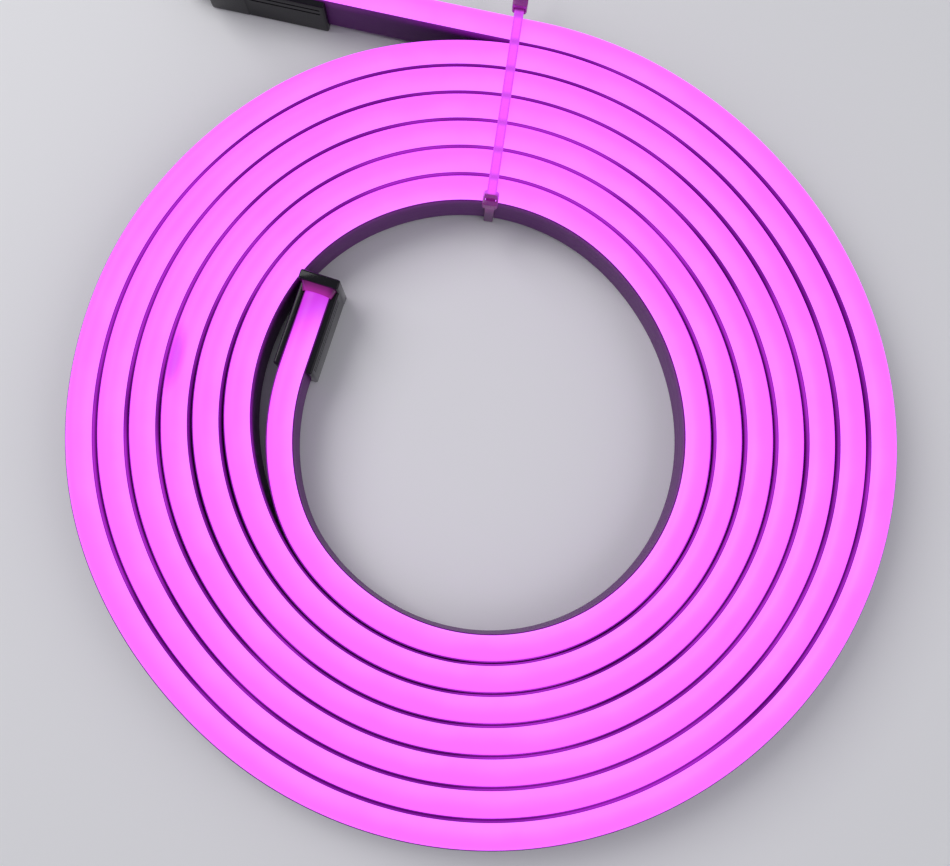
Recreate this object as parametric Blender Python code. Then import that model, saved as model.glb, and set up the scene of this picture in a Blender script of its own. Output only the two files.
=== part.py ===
"""LED neon flex: a five metre length with its end fittings, wound flat and held by two cable ties."""

import math

import bmesh
import bpy
from mathutils import Matrix, Vector

MM = 0.001
COLLECTION = "LED neon flex"

# Flex section: straight sides on a flat base, with a low dome that gives the light
FLEX_WIDTH = 10.0 * MM
FLEX_HEIGHT = 20.0 * MM
DOME_RISE = 3.5 * MM
DOME_STEPS = 6
FOOT_BEVEL = 0.6 * MM

# Roll: centreline of the turns, angles counted anticlockwise seen from above
CORE_RADIUS = 70.35 * MM
TURN_GAP = 1.085 * MM
OVAL = 2.35 * MM
OVAL_ANGLE = math.radians(134.5)
TURN_START = math.radians(165.0)
TURN_END = math.radians(2601.0)
STEPS_PER_TURN = 48
HEADING_STEP = math.radians(0.05)

# Bulges of the hand-wound turns: where each is, how far it reaches to both sides, and how far it pushes
# the innermost turn out and then the outermost one
BULGES = (
    (math.radians(267.0), math.radians(110.0), 3.8 * MM, 1.7 * MM),
    (math.radians(0.0), math.radians(62.0), -0.5 * MM, 2.8 * MM),
    (math.radians(193.0), math.radians(34.0), -0.8 * MM, 1.9 * MM),
    (math.radians(135.0), math.radians(30.0), 0.9 * MM, -1.3 * MM),
    (math.radians(84.0), math.radians(78.0), 3.3 * MM, 1.0 * MM),
)

# Spring of the inner end into the bore, and the angles between which it joins the roll
SPRING_SWEEP = 7.2 * MM
SPRING_FROM = math.radians(152.5)
SPRING_TO = math.radians(217.5)

# Inner end: it runs straight through its fitting
INNER_STRAIGHT = 33.0 * MM

# Outer end: a very slight reverse bend away from the roll, then straight into its fitting
TAIL_BEND_RADIUS = 6000.0 * MM
TAIL_BEND_LENGTH = 80.0 * MM
TAIL_STRAIGHT = 34.8 * MM
TAIL_STEPS = 5

# Fit between pieces
CLEARANCE = 0.3 * MM

# Cable ties: two of them, each closed through the other's head
STRAP_WIDTH = 3.6 * MM
STRAP_THICKNESS = 1.3 * MM
STRAP_CORNER = 2.2 * MM
CORNER_STEPS = 4
HEAD_WIDTH = 5.8 * MM
HEAD_LENGTH = 5.8 * MM
HEAD_DEPTH = 4.2 * MM
HEAD_BEVEL = 0.5 * MM
TIE_INNER_ANGLE = math.radians(86.0)
TIE_HEADING = math.radians(81.4)
TOP_TAIL = 14.0 * MM
UNDER_TAIL = 1.5 * MM
STRAP_GAP = 0.45 * MM

# End fittings: a trough under the flex, a tapered lip that hugs it and a head over its tip
CAP_WALL = 2.1 * MM
CAP_FLOOR = STRAP_THICKNESS
SKIRT_LENGTH = 28.8 * MM
SKIRT_BEVEL = 0.8 * MM
LIP_LENGTH = 3.0 * MM
LIP_NEAR_WALL = 0.6 * MM
LIP_FAR_WALL = 1.2 * MM
TIP_IN_HEAD = 1.0 * MM
HEAD_WALL = 2.3 * MM
HEAD_ROOF = 2.2 * MM
END_CAP_HEAD = 3.8 * MM
FEED_HEAD = 16.0 * MM
CAP_BEVEL = 0.9 * MM

# Gland for a round two-core lead
GLAND_RADIUS = 5.0 * MM
GLAND_NOSE_RADIUS = 3.6 * MM
GLAND_LENGTH = 12.0 * MM
GLAND_BORE_RADIUS = 2.5 * MM
GLAND_SIDES = 24
GLAND_BORE_SIDES = 16

# The flex lies on the floor and is lifted over the strap and the fittings' floors
LIFT = CAP_FLOOR + CLEARANCE
LIFT_FROM = math.radians(68.0)
LIFT_TO = math.radians(176.0)
LIFT_RAMP = math.radians(36.0)

CUT_MARGIN = 2.0 * MM
WELD = 0.01 * MM


def clear_scene():
    for item in list(bpy.data.objects):
        bpy.data.objects.remove(item)


def make_collection(name):
    group = bpy.data.collections.new(name)
    bpy.context.scene.collection.children.link(group)
    return group


def make_material(name, colour, roughness, metallic=0.0):
    material = bpy.data.materials.new(name)
    material.use_nodes = True
    shader = material.node_tree.nodes["Principled BSDF"]
    shader.inputs["Base Color"].default_value = (*colour, 1.0)
    shader.inputs["Roughness"].default_value = roughness
    shader.inputs["Metallic"].default_value = metallic
    return material


def add_object(name, data, collection, material=None):
    item = bpy.data.objects.new(name, data)
    collection.objects.link(item)
    if material is not None:
        data.materials.append(material)
    return item


def smooth_step(value):
    value = min(max(value, 0.0), 1.0)
    return value * value * (3.0 - 2.0 * value)


# Route of the flex

def base_height(angle):
    """Height of the flex's base at an angle round the roll."""
    middle = (LIFT_FROM + LIFT_TO) / 2.0
    off = abs((angle - middle + math.pi) % (2.0 * math.pi) - math.pi)
    past = off - (LIFT_TO - LIFT_FROM) / 2.0
    return LIFT * (1.0 - smooth_step(past / LIFT_RAMP))


def bulge_at(angle):
    """How far the bulges push the centreline out at an angle."""
    share = (angle - TURN_START) / (TURN_END - TURN_START)
    push = 0.0
    for place, reach, first, last in BULGES:
        off = abs((angle - place + math.pi) % (2.0 * math.pi) - math.pi)
        push += (first + (last - first) * share) * smooth_step(1.0 - off / reach)
    return push


def turn_radius(angle):
    """Radius of the centreline after so much turning, in radians."""
    radius = CORE_RADIUS + (FLEX_WIDTH + TURN_GAP) * angle / (2.0 * math.pi)
    radius += OVAL * math.cos(2.0 * (angle - OVAL_ANGLE)) + bulge_at(angle)
    return radius - SPRING_SWEEP * (1.0 - smooth_step((angle - SPRING_FROM) / (SPRING_TO - SPRING_FROM)))


def roll_point(angle):
    radius = turn_radius(angle)
    return Vector((radius * math.cos(angle), radius * math.sin(angle), base_height(angle)))


def heading_at(angle):
    """Direction of the centreline in plan, towards the outer end."""
    ahead = roll_point(angle + HEADING_STEP) - roll_point(angle - HEADING_STEP)
    return math.atan2(ahead.y, ahead.x)


def direction(heading):
    return Vector((math.cos(heading), math.sin(heading), 0.0))


def tail_points(start, heading):
    """The outer end, from where it leaves the roll to its tip, and its last heading."""
    points = []
    place = start.copy()
    step = TAIL_BEND_LENGTH / TAIL_STEPS
    for _ in range(TAIL_STEPS):
        heading -= step / TAIL_BEND_RADIUS
        place = place + direction(heading) * step
        points.append(place)
    points.append(place + direction(heading) * TAIL_STRAIGHT)
    return points, heading


def flex_route():
    """All points of the centreline of the base, and the headings out of the two ends."""
    count = round((TURN_END - TURN_START) / (2.0 * math.pi) * STEPS_PER_TURN)
    angles = [TURN_START + (TURN_END - TURN_START) * i / count for i in range(count + 1)]
    turns = [roll_point(angle) for angle in angles]
    inner_heading = heading_at(TURN_START) + math.pi
    inner_tip = turns[0] + direction(inner_heading) * INNER_STRAIGHT
    tail, outer_heading = tail_points(turns[-1], heading_at(TURN_END))
    return [inner_tip] + turns + tail, inner_heading, outer_heading


def crossings(route, start, heading):
    """Distances along a line from start at which the centreline crosses it, in plan."""
    along = direction(heading)
    across = Vector((-along.y, along.x, 0.0))
    found = []
    for first, second in zip(route, route[1:]):
        a = (first - start).dot(across)
        b = (second - start).dot(across)
        if a * b < 0.0:
            place = first.lerp(second, a / (a - b))
            found.append((place - start).dot(along))
    return sorted(value for value in found if value > -FLEX_WIDTH)


# Flex

def section_outline(grow=0.0):
    """The flex's section, clockwise: base corners, then the dome from its left foot to its right."""
    half = FLEX_WIDTH / 2.0 + grow
    shoulder = FLEX_HEIGHT - DOME_RISE
    rise = DOME_RISE + grow
    points = [(half, FOOT_BEVEL - grow), (half - FOOT_BEVEL, -grow)]
    points += [(FOOT_BEVEL - half, -grow), (-half, FOOT_BEVEL - grow)]
    for i in range(DOME_STEPS + 1):
        angle = math.pi * i / DOME_STEPS
        points.append((-half * math.cos(angle), shoulder + rise * math.sin(angle)))
    return points


def poly_curve(name, points, cyclic=False, flat=False):
    curve = bpy.data.curves.new(name, "CURVE")
    curve.dimensions = "2D" if flat else "3D"
    spline = curve.splines.new("POLY")
    spline.points.add(len(points) - 1)
    for target, point in zip(spline.points, points):
        target.co = (point[0], point[1], point[2] if len(point) > 2 else 0.0, 1.0)
    spline.use_cyclic_u = cyclic
    return curve


def make_flex(route, parts, guides, material):
    section = add_object("flex_section", poly_curve("flex_section", section_outline(), True, True), guides)
    hide_guide(section)
    curve = poly_curve("neon_flex", route)
    curve.twist_mode = "Z_UP"
    curve.bevel_mode = "OBJECT"
    curve.bevel_object = section
    curve.use_fill_caps = True
    return add_object("neon_flex", curve, parts, material)


# Solids and cuts

def block_mesh(name, low, high, bevel=0.0, segments=2):
    """A box between two corners, with its edges rounded."""
    mesh = bpy.data.meshes.new(name)
    shape = bmesh.new()
    bmesh.ops.create_cube(shape, size=1.0)
    size = Vector(high) - Vector(low)
    middle = (Vector(high) + Vector(low)) / 2.0
    bmesh.ops.scale(shape, vec=size, verts=shape.verts)
    bmesh.ops.translate(shape, vec=middle, verts=shape.verts)
    if bevel > 0.0:
        bmesh.ops.bevel(shape, geom=list(shape.edges), offset=bevel, segments=segments, profile=0.5,
                        affect="EDGES", material=-1)
    shape.to_mesh(mesh)
    shape.free()
    return mesh


def hide_guide(item):
    item.hide_render = True
    item.display_type = "WIRE"


def add_cut(body, name, mesh, guides, operation="DIFFERENCE"):
    cutter = add_object(name, mesh, guides)
    hide_guide(cutter)
    cutter.matrix_world = body.matrix_world
    cut = body.modifiers.new(name, "BOOLEAN")
    cut.operation = operation
    cut.solver = "EXACT"
    cut.object = cutter
    return cutter


def outline_mesh(name, outline, depth):
    """A closed flat outline, X across and Z up, made a solid that is so deep along Y."""
    curve = poly_curve(name, outline, True, True)
    curve.fill_mode = "BOTH"
    curve.extrude = depth / 2.0
    source = bpy.data.objects.new(name, curve)
    bpy.context.scene.collection.objects.link(source)
    bpy.context.view_layer.update()
    graph = bpy.context.evaluated_depsgraph_get()
    mesh = bpy.data.meshes.new_from_object(source.evaluated_get(graph))
    bpy.data.objects.remove(source)
    bpy.data.curves.remove(curve)
    shape = bmesh.new()
    shape.from_mesh(mesh)
    bmesh.ops.remove_doubles(shape, verts=shape.verts, dist=WELD)
    upright = Matrix.Rotation(math.pi / 2.0, 3, "X")
    bmesh.ops.rotate(shape, verts=shape.verts, cent=(0.0, 0.0, 0.0), matrix=upright)
    shape.to_mesh(mesh)
    shape.free()
    mesh.name = name
    return mesh


# End fittings, modelled with the flex's tip at the origin and +X out of the end

def fitting_top():
    return LIFT + FLEX_HEIGHT + CLEARANCE + HEAD_ROOF


def head_start():
    return -TIP_IN_HEAD


def channel_mesh():
    """The flex's own section with its clearance, from behind the skirts to just past the tip."""
    length = SKIRT_LENGTH + LIP_LENGTH + TIP_IN_HEAD + CUT_MARGIN
    mesh = outline_mesh("cut", section_outline(CLEARANCE), length)
    turn = Matrix.Rotation(math.pi / 2.0, 4, "Z")
    mesh.transform(Matrix.Translation((CLEARANCE - length / 2.0, 0.0, LIFT)) @ turn)
    return mesh


def lip_mesh():
    """A block over the flex that tapers down towards its body, as the soft mouth of the head."""
    start = head_start() - LIP_LENGTH
    base = LIFT + FLEX_HEIGHT / 2.0
    wide = FLEX_WIDTH / 2.0 + CLEARANCE + LIP_FAR_WALL
    top = LIFT + FLEX_HEIGHT + CLEARANCE + LIP_FAR_WALL
    mesh = block_mesh("lip", (start, -wide, base), (head_start() + CLEARANCE, wide, top))
    narrow = LIP_FAR_WALL - LIP_NEAR_WALL
    for vertex in mesh.vertices:
        if vertex.co.x < start + CLEARANCE:
            vertex.co.y -= math.copysign(narrow, vertex.co.y)
            vertex.co.z -= narrow if vertex.co.z > base + narrow else 0.0
    return mesh


def make_fitting(name, head_length, placement, parts, guides, material):
    skirt_half = FLEX_WIDTH / 2.0 + CLEARANCE + CAP_WALL
    skirt_top = LIFT + FLEX_HEIGHT - DOME_RISE
    skirt_start = head_start() - LIP_LENGTH - SKIRT_LENGTH
    head_half = FLEX_WIDTH / 2.0 + CLEARANCE + HEAD_WALL
    far = head_start() + head_length
    trough = block_mesh(name, (skirt_start, -skirt_half, 0.0), (far - CAP_BEVEL, skirt_half, skirt_top),
                        SKIRT_BEVEL)
    body = add_object(name, trough, parts, material)
    body.matrix_world = placement
    head = block_mesh("head", (head_start(), -head_half, 0.0), (far, head_half, fitting_top()), CAP_BEVEL)
    add_cut(body, name + "_head", head, guides, "UNION")
    add_cut(body, name + "_lip", lip_mesh(), guides, "UNION")
    add_cut(body, name + "_channel_cut", channel_mesh(), guides)
    return body


def make_gland(placement, parts, guides, material):
    """The screwed gland on the feed fitting's head, with the bore that a lead goes through."""
    start = head_start() + FEED_HEAD + CLEARANCE
    middle = (LIFT + FLEX_HEIGHT) / 2.0
    mesh = bpy.data.meshes.new("lead_gland")
    shape = bmesh.new()
    bmesh.ops.create_cone(shape, cap_ends=True, segments=GLAND_SIDES, radius1=GLAND_RADIUS,
                          radius2=GLAND_NOSE_RADIUS, depth=GLAND_LENGTH)
    turn = Matrix.Rotation(math.pi / 2.0, 4, "Y")
    shift = Matrix.Translation((start + GLAND_LENGTH / 2.0, 0.0, middle))
    bmesh.ops.transform(shape, matrix=shift @ turn, verts=shape.verts)
    shape.to_mesh(mesh)
    shape.free()
    gland = add_object("lead_gland", mesh, parts, material)
    gland.matrix_world = placement
    bore = bpy.data.meshes.new("cut")
    shape = bmesh.new()
    depth = GLAND_LENGTH + 2.0 * CUT_MARGIN
    bmesh.ops.create_cone(shape, cap_ends=True, segments=GLAND_BORE_SIDES, radius1=GLAND_BORE_RADIUS,
                          radius2=GLAND_BORE_RADIUS, depth=depth)
    bmesh.ops.transform(shape, matrix=shift @ turn, verts=shape.verts)
    shape.to_mesh(bore)
    shape.free()
    add_cut(gland, "lead_gland_bore_cut", bore, guides)
    return gland


def end_placement(tip, heading):
    return Matrix.Translation((tip.x, tip.y, 0.0)) @ Matrix.Rotation(heading, 4, "Z")


# Cable ties, modelled with +X across the turns, out of the roll, and +Z up

def corner_arc(middle, radius, start, stop):
    """Points of a quarter bend about a middle in the X and Z plane, angles in degrees."""
    points = []
    for i in range(CORNER_STEPS + 1):
        angle = math.radians(start + (stop - start) * i / CORNER_STEPS)
        points.append((middle[0] + radius * math.cos(angle), middle[1] + radius * math.sin(angle)))
    return points


def strap_band(name, outline, placement, parts, material):
    """A closed outline in the X and Z plane, as deep as the strap is wide."""
    band = add_object(name, outline_mesh(name, outline, STRAP_WIDTH), parts, material)
    band.matrix_world = placement
    return band


def make_top_tie(inner, outer, placement, parts, guides, material):
    """Head on the inner edge of the roll, strap over the top, tail past the other tie's head."""
    low = LIFT + FLEX_HEIGHT + CLEARANCE
    high = low + STRAP_THICKNESS
    slot_middle = inner - STRAP_GAP - STRAP_THICKNESS / 2.0
    start = slot_middle + HEAD_LENGTH / 4.0
    end = outer + STRAP_GAP + HEAD_DEPTH + TOP_TAIL
    outline = [(start, low), (end, low), (end, high), (start, high)]
    tie = strap_band("cable_tie_top", outline, placement, parts, material)
    head = block_mesh("head", (slot_middle - HEAD_LENGTH / 2.0, -HEAD_WIDTH / 2.0, low),
                      (slot_middle + HEAD_LENGTH / 2.0, HEAD_WIDTH / 2.0, low + HEAD_DEPTH), HEAD_BEVEL)
    add_cut(tie, "cable_tie_top_head", head, guides, "UNION")
    half_slot = STRAP_THICKNESS / 2.0 + CLEARANCE
    slot = block_mesh("cut", (slot_middle - half_slot, -STRAP_WIDTH / 2.0 - CLEARANCE, low - CUT_MARGIN),
                      (slot_middle + half_slot, STRAP_WIDTH / 2.0 + CLEARANCE, low + HEAD_DEPTH + CUT_MARGIN))
    add_cut(tie, "cable_tie_top_slot", slot, guides)
    return tie


def under_outline(inner, outer):
    """The lower strap: down the outer side, under the turns and up the inner side."""
    top = LIFT + FLEX_HEIGHT + CLEARANCE
    right = outer + STRAP_GAP
    left = inner - STRAP_GAP
    thick = STRAP_THICKNESS
    bend = STRAP_CORNER
    start = top - HEAD_WIDTH / 4.0
    end = top + HEAD_DEPTH + UNDER_TAIL
    right_middle = (right + thick - bend, bend)
    left_middle = (left - thick + bend, bend)
    outside = [(right + thick, start)] + corner_arc(right_middle, bend, 0.0, -90.0)
    outside += corner_arc(left_middle, bend, -90.0, -180.0) + [(left - thick, end)]
    inside = [(left, end)] + corner_arc(left_middle, bend - thick, -180.0, -90.0)
    inside += corner_arc(right_middle, bend - thick, -90.0, 0.0) + [(right, start)]
    return outside + inside


def make_under_tie(inner, outer, placement, parts, guides, material):
    """Head on the outer side, its slot lying flat for the upper strap, strap under the roll."""
    tie = strap_band("cable_tie_under", under_outline(inner, outer), placement, parts, material)
    middle = LIFT + FLEX_HEIGHT + CLEARANCE + STRAP_THICKNESS / 2.0
    right = outer + STRAP_GAP
    head = block_mesh("head", (right, -HEAD_WIDTH / 2.0, middle - HEAD_LENGTH / 2.0),
                      (right + HEAD_DEPTH, HEAD_WIDTH / 2.0, middle + HEAD_LENGTH / 2.0), HEAD_BEVEL)
    add_cut(tie, "cable_tie_under_head", head, guides, "UNION")
    half_slot = STRAP_THICKNESS / 2.0 + CLEARANCE
    slot = block_mesh("cut", (right - CUT_MARGIN, -STRAP_WIDTH / 2.0 - CLEARANCE, middle - half_slot),
                      (right + HEAD_DEPTH + CUT_MARGIN, STRAP_WIDTH / 2.0 + CLEARANCE, middle + half_slot))
    add_cut(tie, "cable_tie_under_slot", slot, guides)
    return tie


def tie_frame(route):
    """The ties' placement, and the inner and outer sides of the turns along it."""
    start = roll_point(TIE_INNER_ANGLE + 2.0 * math.pi)
    start.z = 0.0
    reach = crossings(route, start, TIE_HEADING)
    placement = Matrix.Translation(start) @ Matrix.Rotation(TIE_HEADING, 4, "Z")
    return placement, reach[0] - FLEX_WIDTH / 2.0, reach[-1] + FLEX_WIDTH / 2.0


# Whole part

def middle_on_floor(parts):
    """The point of the floor under the middle of all pieces' box."""
    bpy.context.view_layer.update()
    graph = bpy.context.evaluated_depsgraph_get()
    corners = []
    for item in parts.objects:
        evaluated = item.evaluated_get(graph)
        mesh = evaluated.to_mesh()
        corners += [item.matrix_world @ vertex.co for vertex in mesh.vertices]
        evaluated.to_mesh_clear()
    low = Vector([min(corner[axis] for corner in corners) for axis in range(3)])
    high = Vector([max(corner[axis] for corner in corners) for axis in range(3)])
    return Vector(((low.x + high.x) / 2.0, (low.y + high.y) / 2.0, low.z))


def hang_on_empty(collections, middle):
    """Parent everything to one empty, which puts the middle of the part at the origin."""
    anchor = bpy.data.objects.new("roll_middle", None)
    bpy.context.scene.collection.objects.link(anchor)
    for collection in collections:
        for item in collection.objects:
            item.parent = anchor
    anchor.location = -middle


def main():
    clear_scene()
    parts = make_collection(COLLECTION)
    guides = make_collection("Cutters and guides")
    flex_plastic = make_material("lit_flex", (1.0, 0.30, 0.95), 0.45)
    black_plastic = make_material("black_plastic", (0.012, 0.012, 0.015), 0.12)
    nylon = make_material("natural_nylon", (0.86, 0.80, 0.86), 0.30)
    route, inner_heading, outer_heading = flex_route()
    make_flex(route, parts, guides, flex_plastic)
    inner_end = end_placement(route[0], inner_heading)
    outer_end = end_placement(route[-1], outer_heading)
    make_fitting("end_cap", END_CAP_HEAD, inner_end, parts, guides, black_plastic)
    make_fitting("feed_connector", FEED_HEAD, outer_end, parts, guides, black_plastic)
    make_gland(outer_end, parts, guides, black_plastic)
    placement, inner, outer = tie_frame(route)
    make_top_tie(inner, outer, placement, parts, guides, nylon)
    make_under_tie(inner, outer, placement, parts, guides, nylon)
    hang_on_empty((parts, guides), middle_on_floor(parts))


main()
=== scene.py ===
"""Looks of a lit LED neon flex: five metres of it wound flat, with its end fittings and cable ties.

Laid out as an add-on with one operator for each piece or group of like pieces. All lengths are metres.
"""

import math

import bmesh
import bpy
from bpy.props import FloatProperty, FloatVectorProperty, PointerProperty
from mathutils import Matrix, Vector


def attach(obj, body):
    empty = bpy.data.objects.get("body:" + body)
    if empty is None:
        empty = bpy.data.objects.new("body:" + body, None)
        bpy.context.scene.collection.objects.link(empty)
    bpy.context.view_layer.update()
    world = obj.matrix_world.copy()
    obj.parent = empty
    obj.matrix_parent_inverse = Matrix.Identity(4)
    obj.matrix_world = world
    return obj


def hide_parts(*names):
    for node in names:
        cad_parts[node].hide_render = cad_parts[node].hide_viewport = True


bl_info = {
    "name": "LED neon flex roll",
    "version": (1, 0, 0),
    "blender": (4, 5, 0),
    "location": "3D View > Sidebar > Neon Flex",
    "description": "Builds the visible pieces and the finishes of a lit neon flex that is wound flat",
    "category": "Object",
}

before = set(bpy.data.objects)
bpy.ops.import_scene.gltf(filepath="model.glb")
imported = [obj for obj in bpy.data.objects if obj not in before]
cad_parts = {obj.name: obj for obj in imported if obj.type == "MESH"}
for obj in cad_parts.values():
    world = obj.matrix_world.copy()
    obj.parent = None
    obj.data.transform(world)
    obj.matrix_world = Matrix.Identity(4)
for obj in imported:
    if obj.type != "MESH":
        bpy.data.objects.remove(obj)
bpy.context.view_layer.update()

MM = 0.001
BODY = "root"
MERGE = 0.001 * MM
HEADING_STEP = math.radians(0.05)
BLACK = (0.0, 0.0, 0.0)

# Bulges of the hand-wound turns: where each is, how far it reaches to both sides, and how far it pushes
# the innermost turn out and then the outermost one
BULGES = (
    (math.radians(267.0), math.radians(110.0), 3.8 * MM, 1.7 * MM),
    (math.radians(0.0), math.radians(62.0), -0.5 * MM, 2.8 * MM),
    (math.radians(193.0), math.radians(34.0), -0.8 * MM, 1.9 * MM),
    (math.radians(135.0), math.radians(30.0), 0.9 * MM, -1.3 * MM),
    (math.radians(84.0), math.radians(78.0), 3.3 * MM, 1.0 * MM),
)

# Facets across half of the dome and of each rounded edge, and steps of the worked-out line
DOME_STEPS = 10
FOOT_STEPS = 3
STEPS_PER_TURN = 480
TAIL_STEPS = 5

# Noise of the finishes, in features a metre
CLOUDS = 42.0
TOUCHES = 16.0
GRAIN_ALONG = 40.0
GRAIN_ACROSS = 900.0
FINE_GRAIN = 2600.0
MOULD_FLOW = 240.0
DUST = 1900.0
STREAKS = 900.0
FLOOR_HAZE = 3.0

# Light of the flex: mixing by the clouds, dark tips, and heights over the dome's foot at which it begins
CLOUD_SHARE = 1.1
DARK_TIP = 4.0 * MM
LIT_FROM = 0.02 * MM
LIT_TO = 0.2 * MM

# Painted light of the lip: soft edges, rise over the skirts, and squared distances between which it fades
# sideways
LIP_SOFT = 0.15 * MM
LIP_EDGE = 0.1 * MM
LIP_RISE = 1.3 * MM
LIP_SQUARES = (9.0 * MM * MM, 42.0 * MM * MM)

# Painted light of the ties: shares of a turn's half width, reach past the roll's sides and under the straps,
# and where the heads are dark
BRIGHT_HALF = 0.65
BRIGHT_FADE = 0.4
SIDE_MARGIN = 0.4 * MM
SIDE_FADE = 1.2 * MM
STRAP_UNDER = 1.0 * MM
DARK_BELOW = 8.0 * MM
DARK_RISE = 12.0 * MM
DARK_BEYOND = 9.0 * MM

# Details of the fittings: spare length of cutters, the grooves' places, and the gland's chamfers and flutes
SPARE = 2.0 * MM
GROOVE_END = 1.5 * MM
GROOVE_DROPS = (3.0 * MM, 5.6 * MM)
CHAMFER = 0.4 * MM
FLUTES = 12.0
FLUTE_DEPTH = 0.4 * MM
RINGS = 4
RING_DEPTH = 0.3 * MM

# Details of the ties: fit, soft edges, teeth, flared slots, and the pawls' places along and out of the slot
TIE_FIT = 0.3 * MM
SOFT_EDGE = 0.3 * MM
TOOTH_SLOPE = 0.1 * MM
ROWS_A_TOOTH = 4
FLARE = 0.35 * MM
SLOT_SPARE = 1.0 * MM
PAWL_FROM = 1.3 * MM
PAWL_TO = 3.0 * MM
PAWL_HALF = 1.2 * MM
PAWL_OUT = 0.25 * MM
PAWL_ROOT = 0.6 * MM
PAWL_ROUND = 0.1 * MM

# Square lights: where each hangs, its side and its power in watts
LIGHTS = (("key", (-0.75, 0.55, 0.95), 0.9, 8.0), ("fill", (0.95, -0.35, 0.80), 1.1, 3.0))


def length(name, description, millimetres):
    return FloatProperty(name=name, description=description, default=millimetres * MM,
                         unit="LENGTH", precision=5)


def spot(name, description, *millimetres):
    return FloatVectorProperty(name=name, description=description, subtype="XYZ", unit="LENGTH",
                               default=[value * MM for value in millimetres])


def angle(name, description, degrees):
    return FloatProperty(name=name, description=description, default=math.radians(degrees), unit="ROTATION")


def number(name, description, value, unit="NONE"):
    return FloatProperty(name=name, description=description, default=value, unit=unit)


def colour(name, description, value):
    return FloatVectorProperty(name=name, description=description, default=value, size=3, subtype="COLOR")


# Sizes and colours

class NeonFlexSizes(bpy.types.PropertyGroup):
    """The flex's section and the line that it is wound along."""

    width: length("Width", "Width of the flex across its lit face", 10.0)
    height: length("Height", "Height of the flex from its flat back to the top of its dome", 20.0)
    dome: length("Dome", "Rise of the dome over its straight sides", 3.5)
    foot: length("Foot radius", "Rounding of the back's two edges", 0.6)
    ledge: length("Ledge", "Width of the unlit edge beside the foot of the dome", 0.42)
    ledge_drop: length("Ledge drop", "Rounding of that edge towards the side", 0.15)
    row_length: length("Row length", "Distance between rows of points along the flex", 3.0)
    middle: spot("Middle", "Middle of the roll on the floor", -3.584, -15.621, 0.0)
    core_radius: length("Core radius", "Radius that the centreline starts from", 70.35)
    turn_gap: length("Turn gap", "Mean gap between neighbouring turns", 1.085)
    oval: length("Oval", "How far the roll is out of round", 2.35)
    oval_angle: angle("Oval angle", "Where the roll is widest", 134.5)
    spring_sweep: length("Spring sweep", "How far the inner end springs into the bore", 7.2)
    spring_from: angle("Spring from", "Where that spring would begin", 152.5)
    spring_to: angle("Spring to", "Where the inner end joins the roll", 217.5)
    turn_start: angle("Turn start", "Where the turns begin, at the inner end", 165.0)
    turn_end: angle("Turn end", "Where the turns end, at the outer end", 2601.0)
    inner_straight: length("Inner straight", "Straight length at the inner end", 33.0)
    tail_radius: length("Tail radius", "Radius of the outer end's reverse bend", 6000.0)
    tail_bend: length("Tail bend", "Length of that bend", 80.0)
    tail_straight: length("Tail straight", "Straight length at the outer end", 34.8)
    lift: length("Lift", "Rise over the strap and the fittings' floors", 1.6)
    lift_from: angle("Lift from", "Where the rise is full", 68.0)
    lift_to: angle("Lift to", "Where the full rise ends", 176.0)
    lift_ramp: angle("Lift ramp", "Over how much of a turn it rises", 36.0)
    real_length: length("Real length", "Length that such flex is sold in", 5000.0)


class NeonFlexGlow(bpy.types.PropertyGroup):
    """The lit finish of the flex, with painted light and shade."""

    inner_colour: colour("Inner colour", "Light of the dome's side towards the bore", (1.15, 0.255, 1.6))
    # Painted shade: the dome's outer side is given a darker light than its side towards the bore
    outer_painted_shade_colour: colour("Outer colour", "Light of the dome's other side", (1.12, 0.148, 1.6))
    # Painted shade at the foot of the dome's outer side, fading over the height below
    rim_painted_shade: colour("Rim colour", "Light at the foot of that side", (0.22, 0.005, 0.19))
    rim_shade_height: length("Rim height", "Height over which that side brightens", 2.3)
    end_colour: colour("End colour", "Light at the very ends, past the last diode", (0.46, 0.026, 0.60))
    # Painted light: the glow that neighbouring turns cast on the sides, painted into them
    wall_painted_light: colour("Wall colour", "Light in the sides that face another turn", (0.15, 0.005, 0.22))
    # Brighter painted light in patches where turns lie close
    touch_painted_light: colour("Touch colour", "Light there where turns lie close", (0.40, 0.022, 0.54))
    # Painted shade on the edge beside the dome
    ledge_painted_shade: number("Ledge dim", "How much darker the edge beside the dome is than its side", 0.5)
    # Share of the painted light kept in sides that face no turn
    bare_painted_share: number("Bare light", "Share of that light in the sides that face no turn", 0.12)
    # Where the sides face another turn, which sets the painted light in them
    bore_length: length("Bore length", "Length of the innermost turn, which faces the bore", 520.0)
    rim_length: length("Rim length", "Length of the outermost turn, which faces outwards", 1060.0)
    tail_length: length("Tail length", "Length at the outer tip that stands free of the turns", 98.0)
    cover_length: length("Cover length", "Length over which the light of the sides changes", 70.0)
    # One darker spot in the dome's light, set by its place, reach, width and offset
    dim_colour: colour("Dim colour", "Light where one diode is weak", (0.58, 0.055, 0.78))
    dim_place: length("Dim place", "Distance of that spot from the inner tip", 1806.0)
    dim_reach: length("Dim reach", "Half of its length", 15.0)
    dim_across: length("Dim across", "Half of its width", 5.2)
    dim_off: length("Dim offset", "Distance of its middle from the centreline", 2.6)
    shell_colour: colour("Shell colour", "Tinted plastic of the sides and the back", (0.13, 0.012, 0.175))
    dome_colour: colour("Dome colour", "Plastic of the lit dome itself", (0.30, 0.03, 0.30))
    fade_length: length("Fade length", "Length over which each end fades", 24.0)
    # Height down the side over which the painted light fades
    painted_light_height: length("Leak height", "Height of side wall that has that light", 4.4)


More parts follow.
